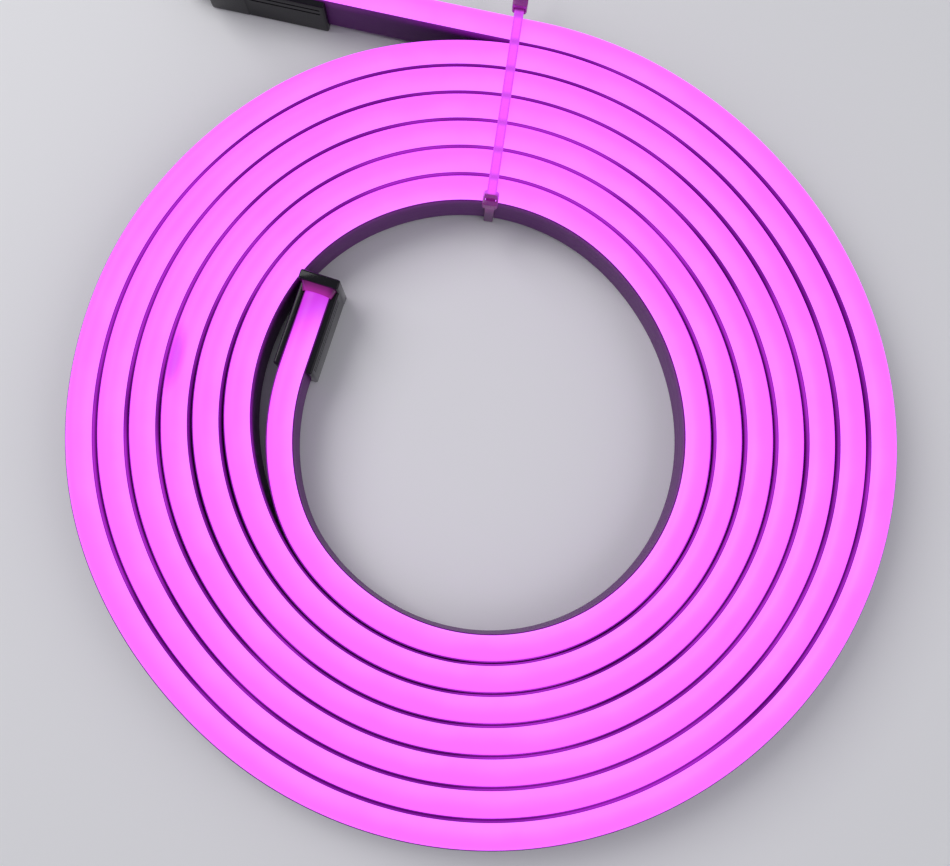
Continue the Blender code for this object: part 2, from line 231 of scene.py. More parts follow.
class NeonFittingSizes(bpy.types.PropertyGroup):
    """The moulded fittings on the two ends and the lead's gland."""

    clearance: length("Clearance", "Gap between pieces that touch", 0.3)
    wall: length("Wall", "Wall of the open trough", 2.1)
    skirt_length: length("Skirt length", "Length of the trough before the lip", 28.8)
    skirt_round: length("Skirt rounding", "Rounding of the trough's edges", 0.8)
    groove: length("Groove", "Height of each long groove in the skirts", 0.8)
    groove_depth: length("Groove depth", "Depth of those grooves", 0.35)
    lip_length: length("Lip length", "Length of the tapered lip", 3.0)
    lip_near: length("Lip near wall", "Wall of the lip's thin edge", 0.25)
    lip_far: length("Lip far wall", "Wall of the lip where it meets the head", 1.2)
    tip_in_head: length("Tip in head", "How far the flex's tip goes into the head", 1.0)
    head_wall: length("Head wall", "Wall of the head at its sides", 2.3)
    head_roof: length("Head roof", "Wall of the head over the flex", 2.2)
    head_round: length("Head rounding", "Rounding of the head's edges", 0.9)
    end_head: length("End cap head", "Length of the closed end's head", 3.8)
    feed_head: length("Feed head", "Length of the fed end's head", 16.0)
    gland_radius: length("Gland radius", "Radius of the gland's nut", 5.0)
    nose_radius: length("Nose radius", "Radius of the gland's nose", 3.6)
    gland_length: length("Gland length", "Length of the gland", 12.0)
    bore_radius: length("Bore radius", "Radius of the hole that a lead goes through", 2.5)
    plastic_colour: colour("Plastic colour", "Black moulded plastic", (0.006, 0.005, 0.008))
    dust_colour: colour("Dust colour", "Fine dust on that plastic", (0.014, 0.012, 0.018))
    # Painted light: the flex's glow on the black lip, painted in as emission
    lip_painted_light: colour("Lip colour", "Light that the lip picks up from the flex", (0.36, 0.015, 0.29))


class NeonTieSizes(bpy.types.PropertyGroup):
    """The two cable ties, each closed through the other's head."""

    strap_width: length("Strap width", "Width of the straps", 3.6)
    strap: length("Strap thickness", "Thickness of the straps", 1.3)
    bend: length("Bend", "Outer radius of the lower strap's corners", 2.2)
    gap: length("Strap gap", "Gap between a strap and the side of the flex", 0.45)
    head_width: length("Head width", "Width of the heads", 5.8)
    head_length: length("Head length", "Length of the heads along their strap", 5.8)
    head_depth: length("Head depth", "Depth of the heads along their slot", 4.2)
    head_round: length("Head rounding", "Rounding of the heads' upright edges", 1.1)
    edge_round: length("Edge rounding", "Rounding of the heads' other edges", 0.45)
    inner_angle: angle("Inner angle", "Where the ties meet the innermost turn", 86.0)
    heading: angle("Heading", "Direction of the ties across the turns", 81.4)
    top_tail: length("Top tail", "Free end of the upper strap", 14.0)
    under_tail: length("Under tail", "Trimmed end of the lower strap", 1.5)
    tooth: length("Tooth pitch", "Distance between the strap's teeth", 1.25)
    tooth_depth: length("Tooth depth", "Depth of the teeth", 0.4)
    rail: length("Rail", "Width of the smooth rail beside the teeth", 0.6)
    nylon_colour: colour("Nylon colour", "Natural nylon", (0.17, 0.038, 0.18))
    flow_colour: colour("Flow colour", "Streaks that the nylon set with", (0.13, 0.027, 0.145))
    # Painted light: the flex's light through the nylon, painted into the straps and heads
    strap_painted_light: colour("Strap light", "Light through the strap over a dome", (0.93, 0.075, 1.10))
    gap_painted_light: colour("Gap light", "Light through the strap over a gap", (0.56, 0.040, 0.74))
    edge_painted_light: colour("Edge light", "Light at the strap's edges", (0.60, 0.045, 0.80))
    head_painted_light: colour("Head light", "Light through the heads", (0.12, 0.003, 0.11))
    # Where the painted light in the strap is dimmest
    lean: length("Lean", "How far to the bore of each gap the strap is dimmest", 2.2)


class NeonStageSizes(bpy.types.PropertyGroup):
    """Floor, lights and camera."""

    floor_size: length("Floor size", "Side of the square floor", 6000.0)
    floor_colour: colour("Floor colour", "Plain pale floor", (0.92, 0.91, 0.93))
    world_colour: colour("World colour", "Soft light from all round", (0.80, 0.82, 0.88))
    world_strength: number("World strength", "Strength of that light", 0.38)
    sensor: number("Sensor", "Width of the camera's sensor", 36.0, "CAMERA")
    lens: number("Lens", "Focal length of the camera", 36.9, "CAMERA")
    distance: length("Distance", "From the camera to the lit face", 356.6)
    tilt: angle("Tilt", "Lean of the camera towards the floor's near side", 6.7)
    side: angle("Side", "Lean of the camera to the left", 1.6)
    aim: spot("Aim", "Point of the lit face in the middle of the picture", -4.26, -20.77, 16.5)


# Shader maths

class Number:
    """A number of a shader. Python's operators on it add Math nodes."""

    def __init__(self, finish, socket):
        self.finish = finish
        self.socket = socket

    def maths(self, operation, *values):
        node = self.finish.add("ShaderNodeMath", {"operation": operation}, dict(enumerate(values)))
        return Number(self.finish, node.outputs[0])

    def __add__(self, other):
        return self.maths("ADD", self, other)

    __radd__ = __add__

    def __sub__(self, other):
        return self.maths("SUBTRACT", self, other)

    def __rsub__(self, other):
        return self.maths("SUBTRACT", other, self)

    def __mul__(self, other):
        return self.maths("MULTIPLY", self, other)

    __rmul__ = __mul__

    def __truediv__(self, other):
        return self.maths("DIVIDE", self, other)

    def least(self, other):
        return self.maths("MINIMUM", self, other)

    def most(self, other):
        return self.maths("MAXIMUM", self, other)

    def ramp(self, low, high):
        """0 up to low, 1 from high, and a smooth rise between."""
        values = {"Value": self, "From Min": low, "From Max": high}
        node = self.finish.add("ShaderNodeMapRange", {"interpolation_type": "SMOOTHSTEP"}, values)
        return Number(self.finish, node.outputs[0])


class Finish:
    """A material in the making. Every node comes from add()."""

    def __init__(self, name):
        self.material = bpy.data.materials.new(name)
        self.material.use_nodes = True
        self.tree = self.material.node_tree
        self.shader = self.tree.nodes["Principled BSDF"]

    def add(self, kind, settings=None, inputs=None):
        """A node of a kind, with its settings made first and then its sockets' values or links."""
        node = self.tree.nodes.new(kind)
        for name, value in (settings or {}).items():
            setattr(node, name, value)
        self.feed(node, inputs or {})
        return node

    def feed(self, node, inputs):
        for name, value in inputs.items():
            socket = node.inputs[name]
            if isinstance(value, Number):
                self.tree.links.new(value.socket, socket)
            elif isinstance(value, bpy.types.NodeSocket):
                self.tree.links.new(value, socket)
            else:
                socket.default_value = value

    def surface(self, **inputs):
        """Sets the surface shader's sockets, named with underscores for spaces."""
        self.feed(self.shader, {name.replace("_", " "): value for name, value in inputs.items()})

    def place(self):
        return self.add("ShaderNodeTexCoord").outputs["Object"]

    def attribute(self, name):
        """A number that the piece keeps at each point."""
        return Number(self, self.add("ShaderNodeAttribute", {"attribute_name": name}).outputs["Fac"])

    def noise(self, vector, scale, detail=2.0):
        node = self.add("ShaderNodeTexNoise", {}, {"Vector": vector, "Scale": scale, "Detail": detail})
        return Number(self, node.outputs[0])

    def vector(self, x, y, z):
        return self.add("ShaderNodeCombineXYZ", {}, {0: x, 1: y, 2: z}).outputs[0]

    def blend(self, factor, first, second):
        """The first colour at 0 and the second at 1."""
        settings = {"data_type": "RGBA", "clamp_factor": True}
        node = self.add("ShaderNodeMix", settings, {0: factor, 6: solid(first), 7: solid(second)})
        return node.outputs[2]

    def bump(self, height, distance, strength=1.0):
        node = self.add("ShaderNodeBump", {}, {"Height": height, "Distance": distance, "Strength": strength})
        return node.outputs[0]


def solid(value):
    """A colour property with its alpha, or a socket as it is."""
    return value if isinstance(value, bpy.types.NodeSocket) else (*value, 1.0)


# Finishes

class LitFinish(Finish):
    """Milky plastic with a lit dome, and painted light from the neighbouring turns a little way down the
    sides.
    """

    def __init__(self, flex, glow):
        super().__init__("lit_flex")
        self.flex = flex
        self.glow = glow
        self.half = flex.width / 2.0
        self.shoulder = flex.height - flex.dome
        self.along = self.attribute("along")
        self.across = self.attribute("across")
        self.height = self.attribute("height")
        self.to_tip = flex.real_length - self.along
        from_end = self.along.least(self.to_tip) + self.across
        self.lit = from_end.ramp(DARK_TIP, DARK_TIP + glow.fade_length)
        on_dome = self.height.ramp(self.shoulder + LIT_FROM, self.shoulder + LIT_TO)
        drawn = self.vector(self.along * GRAIN_ALONG, self.across * GRAIN_ACROSS, self.height * GRAIN_ACROSS)
        grain = self.noise(drawn, 1.0, 3.0)
        fine = self.noise(self.place(), FINE_GRAIN)
        self.surface(Base_Color=self.blend(on_dome, glow.shell_colour, glow.dome_colour))
        self.surface(Emission_Color=self.blend(on_dome, self.paint_wall_light(), self.dome_light()))
        self.surface(Emission_Strength=1.0, IOR=1.46, Specular_IOR_Level=0.25)
        self.surface(Roughness=0.42 + (grain - 0.5) * 0.16 + (fine - 0.5) * 0.08)
        self.surface(Normal=self.bump(grain * 0.7 + fine * 0.3, 0.03 * MM))

    def dome_light(self):
        """Light of the dome, duller at the ends and in one dimmer spot, with painted shade on its outer side
        and at its outer foot.
        """
        glow = self.glow
        cloud = self.noise(self.place(), CLOUDS, 3.0)
        # Painted shade: the light darkens from the side towards the bore to the outer side
        inward = (self.across / self.half + (cloud - 0.5) * CLOUD_SHARE).ramp(-0.4, 1.4)
        light = self.blend(inward, glow.outer_painted_shade_colour, glow.inner_colour)
        light = self.blend(self.lit, glow.end_colour, light)
        beside = (self.along - glow.dim_place) / glow.dim_reach
        over = (self.across + glow.dim_off) / glow.dim_across
        dim = 1.0 - (beside * beside + over * over).ramp(0.0, 1.0)
        light = self.blend(dim, light, glow.dim_colour)
        # Painted shade at the dome's outer foot
        rim = self.height.ramp(self.shoulder, self.shoulder + glow.rim_shade_height)
        rim = rim.most(self.across.ramp(-0.5 * self.half, 0.0))
        return self.blend(rim, glow.rim_painted_shade, light)

    def paint_wall_light(self):
        """Painted light in the sides from the neighbouring turns' domes, near the dome and where they face
        another turn, with painted shade on the ledge.
        """
        glow = self.glow
        # Painted light from the neighbouring turns, fading down from the dome's foot, with painted shade on
        # the ledge
        painted_reach = self.height.ramp(self.shoulder - glow.painted_light_height, self.shoulder)
        ledge = self.height.ramp(self.shoulder - self.flex.ledge_drop, self.shoulder)
        inner_side = self.across.ramp(-0.5 * self.half, 0.5 * self.half)
        inner_cover = self.along.ramp(glow.bore_length, glow.bore_length + glow.cover_length)
        inner_cover = inner_cover * self.to_tip.ramp(glow.tail_length - glow.cover_length, glow.tail_length)
        outer_cover = self.to_tip.ramp(glow.rim_length, glow.rim_length + glow.cover_length)
        cover = inner_side * inner_cover + (1.0 - inner_side) * outer_cover
        cover = (cover * (1.0 - glow.bare_painted_share) + glow.bare_painted_share) * (1.0 - glow.ledge_painted_shade * ledge)
        touch = self.noise(self.place(), TOUCHES, 1.0).ramp(0.44, 0.60)
        light = self.blend(touch, glow.wall_painted_light, glow.touch_painted_light)
        return self.blend(painted_reach * self.lit * cover, BLACK, light)


def plastic_finish(name, fittings):
    """Glossy black moulding."""
    finish = Finish(name)
    place = finish.place()
    flow = finish.noise(place, MOULD_FLOW, 3.0)
    dust = finish.noise(place, DUST)
    base = finish.blend(dust.ramp(0.55, 0.85), fittings.plastic_colour, fittings.dust_colour)
    finish.surface(Base_Color=base, Roughness=0.13 + (flow - 0.5) * 0.10 + dust.ramp(0.5, 0.8) * 0.06)
    finish.surface(Normal=finish.bump(flow, 0.05 * MM, 0.5), IOR=1.5, Specular_IOR_Level=0.3)
    return finish


def paint_lip_light(finish, fittings, top):
    """Adds painted light that stands in for the flex's glow on the lip of a fitting, brightest in the middle
    of its thin edge.
    """
    far = -fittings.tip_in_head
    near = far - fittings.lip_length
    out = finish.attribute("out")
    lateral = finish.attribute("lateral")
    on_lip = out.ramp(near - LIP_SOFT, near) * (1.0 - out.ramp(far - LIP_EDGE, far + LIP_EDGE))
    on_lip = on_lip * finish.attribute("rise").ramp(top + LIP_EDGE, top + LIP_RISE)
    fade = 1.0 - 0.55 * out.ramp(near, far)
    sideways = 1.0 - 0.6 * (lateral * lateral).ramp(*LIP_SQUARES)
    # Painted light on the lip
    light = finish.blend(on_lip * fade * sideways, BLACK, fittings.lip_painted_light)
    finish.surface(Emission_Color=light, Emission_Strength=1.0)


def nylon_finish(ties):
    """Natural nylon with painted light that stands in for the flex's light through it, brightest over the
    domes.
    """
    finish = Finish("natural_nylon")
    flow = finish.noise(finish.place(), STREAKS, 3.0)
    side = finish.attribute("side") / (ties.strap_width / 2.0)
    light = finish.blend(finish.attribute("bright"), ties.gap_painted_light, ties.strap_painted_light)
    light = finish.blend((side * side).ramp(0.15, 1.0), light, ties.edge_painted_light)
    low_light = finish.blend(finish.attribute("level"), BLACK, ties.head_painted_light)
    light = finish.blend(finish.attribute("body"), low_light, light)
    finish.surface(Base_Color=finish.blend(flow.ramp(0.35, 0.7), ties.nylon_colour, ties.flow_colour))
    finish.surface(Emission_Color=light, Emission_Strength=1.0, Roughness=0.30 + (flow - 0.5) * 0.15)
    finish.surface(Normal=finish.bump(flow, 0.04 * MM, 0.6), IOR=1.53)
    finish.surface(Subsurface_Weight=0.4, Subsurface_Scale=1.5 * MM)
    return finish.material


# Meshes

def mesh_from(shape, name):
    mesh = bpy.data.meshes.new(name)
    shape.to_mesh(mesh)
    shape.free()
    return mesh


def smooth_mesh(mesh, degrees=34.0):
    mesh.shade_smooth()
    mesh.set_sharp_from_angle(angle=math.radians(degrees))


def add_object(name, data):
    item = bpy.data.objects.new(name, data)
    bpy.context.scene.collection.objects.link(item)
    return item


def add_piece(name, mesh, material, node):
    """A finished piece of the roll, in place of the CAD node that it stands for."""
    mesh.name = name
    mesh.materials.clear()
    mesh.materials.append(material)
    piece = add_object(name, mesh)
    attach(piece, BODY)
    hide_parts(node)
    return piece


def keep_number(mesh, name, rule):
    """Gives each point of a mesh the number that rule(place) says."""
    attribute = mesh.attributes.new(name, "FLOAT", "POINT")
    attribute.data.foreach_set("value", [rule(vertex.co) for vertex in mesh.vertices])


def wrap_grid(rows, points, place, keeps=()):
    """A grid that place(row, point) bends into a closed tube, with both ends filled.

    keeps names the numbers that each point of the mesh has, which place gives after the position.
    """
    shape = bmesh.new()
    layers = [shape.verts.layers.float.new(name) for name in keeps]
    bmesh.ops.create_grid(shape, x_segments=rows, y_segments=points, size=1.0)
    for vertex in shape.verts:
        row = round((vertex.co.x + 1.0) / 2.0 * rows)
        point = round((vertex.co.y + 1.0) / 2.0 * points)
        vertex.co, *numbers = place(row, point % points)
        for layer, value in zip(layers, numbers):
            vertex[layer] = value
    bmesh.ops.remove_doubles(shape, verts=shape.verts, dist=MERGE)
    rims = [edge for edge in shape.edges if edge.is_boundary]
    bmesh.ops.holes_fill(shape, edges=rims, sides=0)
    bmesh.ops.recalc_face_normals(shape, faces=shape.faces)
    return mesh_from(shape, "tube")


def round_edges(shape, edges, rounding, segments):
    bmesh.ops.bevel(shape, geom=edges, offset=rounding, segments=segments, profile=0.5,
                    affect="EDGES", material=-1)


def rounded_block(low, high, rounding, segments, upright=None):
    """A box between two corners with rounded edges, the upright ones with a rounding of their own."""
    shape = bmesh.new()
    bmesh.ops.create_cube(shape, size=1.0)
    low = Vector(low)
    high = Vector(high)
    bmesh.ops.scale(shape, vec=high - low, verts=shape.verts)
    bmesh.ops.translate(shape, vec=(high + low) / 2.0, verts=shape.verts)
    rest = list(shape.edges)
    if upright is not None:
        posts = [edge for edge in shape.edges if edge.verts[0].co.xy == edge.verts[1].co.xy]
        round_edges(shape, posts, upright, segments + 1)
        rest = [edge for edge in shape.edges if edge.calc_face_angle(0.0) > 1.0]
    round_edges(shape, rest, rounding, segments)
    return mesh_from(shape, "block")


def joined(base, *steps):
    """The base mesh after a row of unions and cuts with other meshes."""
    body = add_object("base", base)
    tools = []
    for operation, mesh in steps:
        modifier = body.modifiers.new(operation, "BOOLEAN")
        modifier.operation = operation
        modifier.solver = "EXACT"
        modifier.object = add_object("tool", mesh)
        tools.append(modifier.object)
    bpy.context.view_layer.update()
    graph = bpy.context.evaluated_depsgraph_get()
    result = bpy.data.meshes.new_from_object(body.evaluated_get(graph))
    for item in [body] + tools:
        bpy.data.objects.remove(item)
    return result


# Line of the flex

def smooth_step(value):
    value = min(max(value, 0.0), 1.0)
    return value * value * (3.0 - 2.0 * value)


def direction(heading):
    return Vector((math.cos(heading), math.sin(heading), 0.0))


def angle_between(first, second):
    """The smaller angle between two directions, never negative."""
    return abs((first - second + math.pi) % math.tau - math.pi)


class Roll:
    """The line that the flex is wound along, from the same sizes as the solids."""

    def __init__(self, flex):
        self.flex = flex
        self.middle = Vector(flex.middle)

    def base_height(self, turned):
        flex = self.flex
        past = angle_between(turned, (flex.lift_from + flex.lift_to) / 2.0)
        past -= (flex.lift_to - flex.lift_from) / 2.0
        return flex.lift * (1.0 - smooth_step(past / flex.lift_ramp))

    def bulge(self, turned):
        """How far the bulges push the centreline out."""
        flex = self.flex
        passed = (turned - flex.turn_start) / (flex.turn_end - flex.turn_start)
        push = 0.0
        for place, reach, first, last in BULGES:
            nearness = smooth_step(1.0 - angle_between(turned, place) / reach)
            push += (first + (last - first) * passed) * nearness
        return push

    def radius(self, turned):
        flex = self.flex
        radius = flex.core_radius + (flex.width + flex.turn_gap) * turned / math.tau
        radius += flex.oval * math.cos(2.0 * (turned - flex.oval_angle)) + self.bulge(turned)
        joining = smooth_step((turned - flex.spring_from) / (flex.spring_to - flex.spring_from))
        return radius - flex.spring_sweep * (1.0 - joining)

    def point(self, turned):
        place = direction(turned) * self.radius(turned)
        place.z = self.base_height(turned)
        return place + self.middle

    def heading(self, turned):
        ahead = self.point(turned + HEADING_STEP) - self.point(turned - HEADING_STEP)
        return math.atan2(ahead.y, ahead.x)

    def line(self):
        """Points from the inner tip to the outer tip, and the headings out of both."""
        flex = self.flex
        turned = flex.turn_end - flex.turn_start
        count = round(turned / math.tau * STEPS_PER_TURN)
        turns = [self.point(flex.turn_start + turned * i / count) for i in range(count + 1)]
        inward = self.heading(flex.turn_start) + math.pi
        tip = turns[0] + direction(inward) * flex.inner_straight
        outward = self.heading(flex.turn_end)
        step = flex.tail_bend / TAIL_STEPS
        tail = []
        place = turns[-1]
        for _ in range(TAIL_STEPS):
            outward -= step / flex.tail_radius
            place = place + direction(outward) * step
            tail.append(place)
        tail.append(place + direction(outward) * flex.tail_straight)
        return [tip] + turns + tail, inward, outward


def even_points(line, spacing):
    """Points at equal distances along a line, about one spacing apart, and that distance."""
    lengths = [(second - first).length for first, second in zip(line, line[1:])]
    count = round(sum(lengths) / spacing)
    step = sum(lengths) / count
    points = [line[0]]
    passed = 0.0
    for first, second, part in zip(line, line[1:], lengths):
        while len(points) < count and passed + part >= step * len(points):
            points.append(first.lerp(second, (step * len(points) - passed) / part))
        passed += part
    return points + [line[-1]], step


def ways_ahead(points):
    """At each point, the way from the point before it to the one after it."""
    return [second - first for first, second in zip(points[:1] + points, points[1:] + points[-1:])]


def crossings(line, start, along):
    """Distances from start, along a direction, at which the flex's line crosses it in plan."""
    across = Vector((-along.y, along.x, 0.0))
    found = []
    for first, second in zip(line, line[1:]):
        a = (first - start).dot(across)
        b = (second - start).dot(across)
        if a * b < 0.0:
            found.append((first.lerp(second, a / (a - b)) - start).dot(along))
    return sorted(found)


def skirt_top(flex):
    """Height of the fittings' skirts, which end at the dome's foot."""
    return flex.lift + flex.height - flex.dome


def end_placement(tip, heading):
    return Matrix.Translation((tip.x, tip.y, 0.0)) @ Matrix.Rotation(heading, 4, "Z")


# Flex

def flex_section(flex, grow=0.0, plain=False):
    """Closed section of the flex, across and up, from the middle of its back."""
    half = flex.width / 2.0 + grow
    shoulder = flex.height - flex.dome
    side = []
    for i in range(FOOT_STEPS + 1):
        turn = math.pi / 2.0 * i / FOOT_STEPS
        out = half - flex.foot + flex.foot * math.sin(turn)
        side.append((out, flex.foot - flex.foot * math.cos(turn) - grow))
    wide = half
    if not plain:
        side.append((half, shoulder - flex.ledge_drop))
        side.append((half - flex.ledge_drop, shoulder))
        wide = half - flex.ledge
    for i in range(DOME_STEPS + 1):
        turn = math.pi / 2.0 * i / DOME_STEPS
        side.append((wide * math.cos(turn), shoulder + (flex.dome + grow) * math.sin(turn)))
    other = [(-across, height) for across, height in reversed(side[:-1])]
    return [(0.0, -grow)] + side + other


class NEONFLEX_OT_flex(bpy.types.Operator):
    """Wind the lit flex flat, from its inner tip to its outer tip"""

    bl_idname = "neonflex.flex"
    bl_label = "Flex"

    def execute(self, context):
        flex = context.scene.neon_flex
        points, step = even_points(Roll(flex).line()[0], flex.row_length)
        section = flex_section(flex)
        lefts = [Vector((-way.y, way.x, 0.0)).normalized() for way in ways_ahead(points)]

        def place(row, point):
            across, height = section[point]
            position = points[row] + lefts[row] * across + Vector((0.0, 0.0, height))
            return position, step * row, across, height

        mesh = wrap_grid(len(points) - 1, len(section), place, ("along", "across", "height"))
        smooth_mesh(mesh, 40.0)
        finish = LitFinish(flex, context.scene.neon_glow)
        piece = add_piece("flex_lit", mesh, finish.material, "neon_flex")
        middle_line = [point + Vector((0.0, 0.0, flex.height / 2.0)) for point in points]
        return {"FINISHED"}


# End fittings, made with the flex's tip at the origin and +X out of the end

def lip_mesh(flex, sizes):
    """The tapered lip, from an arch that hugs the dome to the flat front of the head."""
    near = -sizes.tip_in_head - sizes.lip_length
    base = flex.lift + flex.height / 2.0
    inside = flex.width / 2.0 + sizes.clearance
    around = 24
    rows = 6

    def arch(point, wall, squareness):
        turn = math.pi * point / around
        rise = flex.dome + sizes.clearance + wall
        across = math.copysign(abs(math.cos(turn)) ** squareness, math.cos(turn))
        return (inside + wall) * across, skirt_top(flex) + rise * math.sin(turn) ** squareness

    def place(row, point):
        part = row / rows
        if point > around:
            foot = inside + sizes.lip_near + (sizes.lip_far - sizes.lip_near) * part
            return (Vector((near + sizes.lip_length * part, -foot if point == around + 1 else foot, base)),)
        first = arch(point, sizes.lip_near, 1.0)
        second = arch(point, sizes.lip_far, 0.35)
        across = first[0] + (second[0] - first[0]) * part
        height = first[1] + (second[1] - first[1]) * part
        reach = near + (sizes.lip_length + sizes.clearance * part) * part
        return (Vector((reach, across, height)),)

    return wrap_grid(rows, around + 3, place)


def skirt_start(sizes):
    """Where the fitting's open end is."""
    return -sizes.tip_in_head - sizes.lip_length - sizes.skirt_length


def channel_mesh(flex, sizes):
    """The space for the flex, from outside the open end to just past its tip."""
    section = flex_section(flex, sizes.clearance, True)
    start = skirt_start(sizes) - SPARE

    def place(row, point):
        across, height = section[point]
        return (Vector((sizes.clearance if row else start, across, height + flex.lift)),)

    return wrap_grid(1, len(section), place)


def groove_meshes(flex, sizes):
    """Cutters for two long grooves in each side of the trough."""
    start = skirt_start(sizes) + SPARE
    end = -sizes.tip_in_head - GROOVE_END
    half = flex.width / 2.0 + sizes.clearance + sizes.wall
    cutters = []
    for side in (-1.0, 1.0):
        left, right = sorted((side * (half - sizes.groove_depth), side * (half + sizes.wall)))
        for drop in GROOVE_DROPS:
            top = skirt_top(flex) - drop
            cutters.append(rounded_block((start, left, top - sizes.groove), (end, right, top),
                                         0.3 * sizes.groove, 2))
    return cutters


def fitting_mesh(flex, sizes, head_length):
    """Grooved trough, head and lip, with the channel for the flex cut out."""
    half = flex.width / 2.0 + sizes.clearance
    start = -sizes.tip_in_head
    far = start + head_length
    skirt_half = half + sizes.wall
    head_half = half + sizes.head_wall
    head_top = flex.lift + flex.height + sizes.clearance + sizes.head_roof
    trough = rounded_block((skirt_start(sizes), -skirt_half, 0.0),
                           (far - sizes.head_round, skirt_half, skirt_top(flex)), sizes.skirt_round, 4)
    head = rounded_block((start, -head_half, 0.0), (far, head_half, head_top), sizes.head_round, 4)
    grooves = [("DIFFERENCE", cutter) for cutter in groove_meshes(flex, sizes)]
    mesh = joined(trough, *grooves, ("UNION", head), ("UNION", lip_mesh(flex, sizes)),
                  ("DIFFERENCE", channel_mesh(flex, sizes)))
    for axis, name in enumerate(("out", "lateral", "rise")):
        keep_number(mesh, name, lambda place: place[axis])
    smooth_mesh(mesh)
    return mesh


class NEONFLEX_OT_fittings(bpy.types.Operator):
    """Mould the closed cap of the inner end and the fed fitting of the outer end"""

    bl_idname = "neonflex.fittings"
    bl_label = "End fittings"

    def execute(self, context):
        flex = context.scene.neon_flex
        sizes = context.scene.neon_fittings
        line, inward, outward = Roll(flex).line()
        finish = plastic_finish("black_plastic_painted_lip_light", sizes)
        paint_lip_light(finish, sizes, skirt_top(flex))
        ends = (("end_cap", sizes.end_head, line[0], inward),
                ("feed_connector", sizes.feed_head, line[-1], outward))
        for node, head_length, tip, heading in ends:
            mesh = fitting_mesh(flex, sizes, head_length)
            mesh.transform(end_placement(tip, heading))
            add_piece(node + "_moulding", mesh, finish.material, node)
        return {"FINISHED"}


class NEONFLEX_OT_gland(bpy.types.Operator):
    """Turn the gland on the fed fitting, with its fluted nut, ringed nose and bore"""

    bl_idname = "neonflex.gland"
    bl_label = "Lead gland"

    def execute(self, context):
        flex = context.scene.neon_flex
        sizes = context.scene.neon_fittings
        line, _, outward = Roll(flex).line()
        start = -sizes.tip_in_head + sizes.feed_head + sizes.clearance
        middle = (flex.lift + flex.height) / 2.0
        shape = bmesh.new()
        corners = [shape.verts.new((start + reach, 0.0, middle + radius))
                   for reach, radius in gland_outline(sizes)]
        rim = [shape.edges.new(pair) for pair in zip(corners, corners[1:] + corners[:1])]
        bmesh.ops.spin(shape, geom=corners + rim, cent=(0.0, 0.0, middle), axis=(1.0, 0.0, 0.0),
                       angle=math.tau, steps=72, use_merge=True)
        for vertex in shape.verts:
            arm = Vector((0.0, vertex.co.y, vertex.co.z - middle))
            if arm.length > sizes.gland_radius - 0.1 * MM:
                flute = 0.5 - 0.5 * math.cos(FLUTES * math.atan2(arm.y, arm.z))
                vertex.co -= arm.normalized() * FLUTE_DEPTH * flute * flute
        bmesh.ops.recalc_face_normals(shape, faces=shape.faces)
        mesh = mesh_from(shape, "gland")
        smooth_mesh(mesh)
        mesh.transform(end_placement(line[-1], outward))
        finish = plastic_finish("black_plastic", sizes)
        add_piece("lead_gland_moulding", mesh, finish.material, "lead_gland")
        return {"FINISHED"}


def gland_outline(sizes):
    """Half section of the gland, distance out and radius: nut, neck, ringed nose and bore."""
    nut = 0.4 * sizes.gland_length
    wide = 0.5 * (sizes.gland_radius + sizes.nose_radius)
    outline = [(0.0, sizes.bore_radius), (0.0, sizes.gland_radius - CHAMFER), (CHAMFER, sizes.gland_radius)]
    outline += [(nut - CHAMFER, sizes.gland_radius), (nut, sizes.gland_radius - CHAMFER), (nut, wide)]
    pitch = (sizes.gland_length - nut - CHAMFER) / RINGS
    for i in range(RINGS):
        radius = wide + (sizes.nose_radius - wide) * i / RINGS
        ring = nut + pitch * i
        outline += [(ring + 0.55 * pitch, radius), (ring + 0.62 * pitch, radius - RING_DEPTH)]
        outline += [(ring + 0.93 * pitch, radius - RING_DEPTH), (ring + pitch, radius - 0.05 * MM)]
    outline += [(sizes.gland_length, sizes.nose_radius - CHAMFER), (sizes.gland_length, sizes.bore_radius)]
    return outline


# Cable ties, made with +X across the turns, out of the roll, and +Z up

def strap_mesh(ties, path):
    """A strap along a path in the X and Z plane, smooth outside and toothed towards the roll."""
    line = [Vector((x, 0.0, z)) for x, z in path]
    points = even_points(line, ties.tooth / ROWS_A_TOOTH)[0]
    outwards = [Vector((-way.z, 0.0, way.x)).normalized() for way in ways_ahead(points)]
    wide = ties.strap_width / 2.0
    thick = ties.strap / 2.0
    soft = SOFT_EDGE
    rail = wide - ties.rail
    depths = (ties.tooth_depth, 0.5 * ties.tooth_depth, 0.0, 0.0)

    def place(row, point):
        toothed = ROWS_A_TOOTH < row < len(points) - ROWS_A_TOOTH
        valley = depths[row % ROWS_A_TOOTH] - thick if toothed else -thick
        section = [(soft - wide, thick), (wide - soft, thick), (wide, thick - soft), (wide, soft - thick),
                   (wide - soft, -thick), (rail, -thick), (rail - TOOTH_SLOPE, valley),
                   (TOOTH_SLOPE - rail, valley), (-rail, -thick), (soft - wide, -thick),
                   (-wide, soft - thick), (-wide, thick - soft)]
        across, out = section[point]
        return (points[row] + outwards[row] * out + Vector((0.0, across, 0.0)),)

    return wrap_grid(len(points) - 1, 12, place)


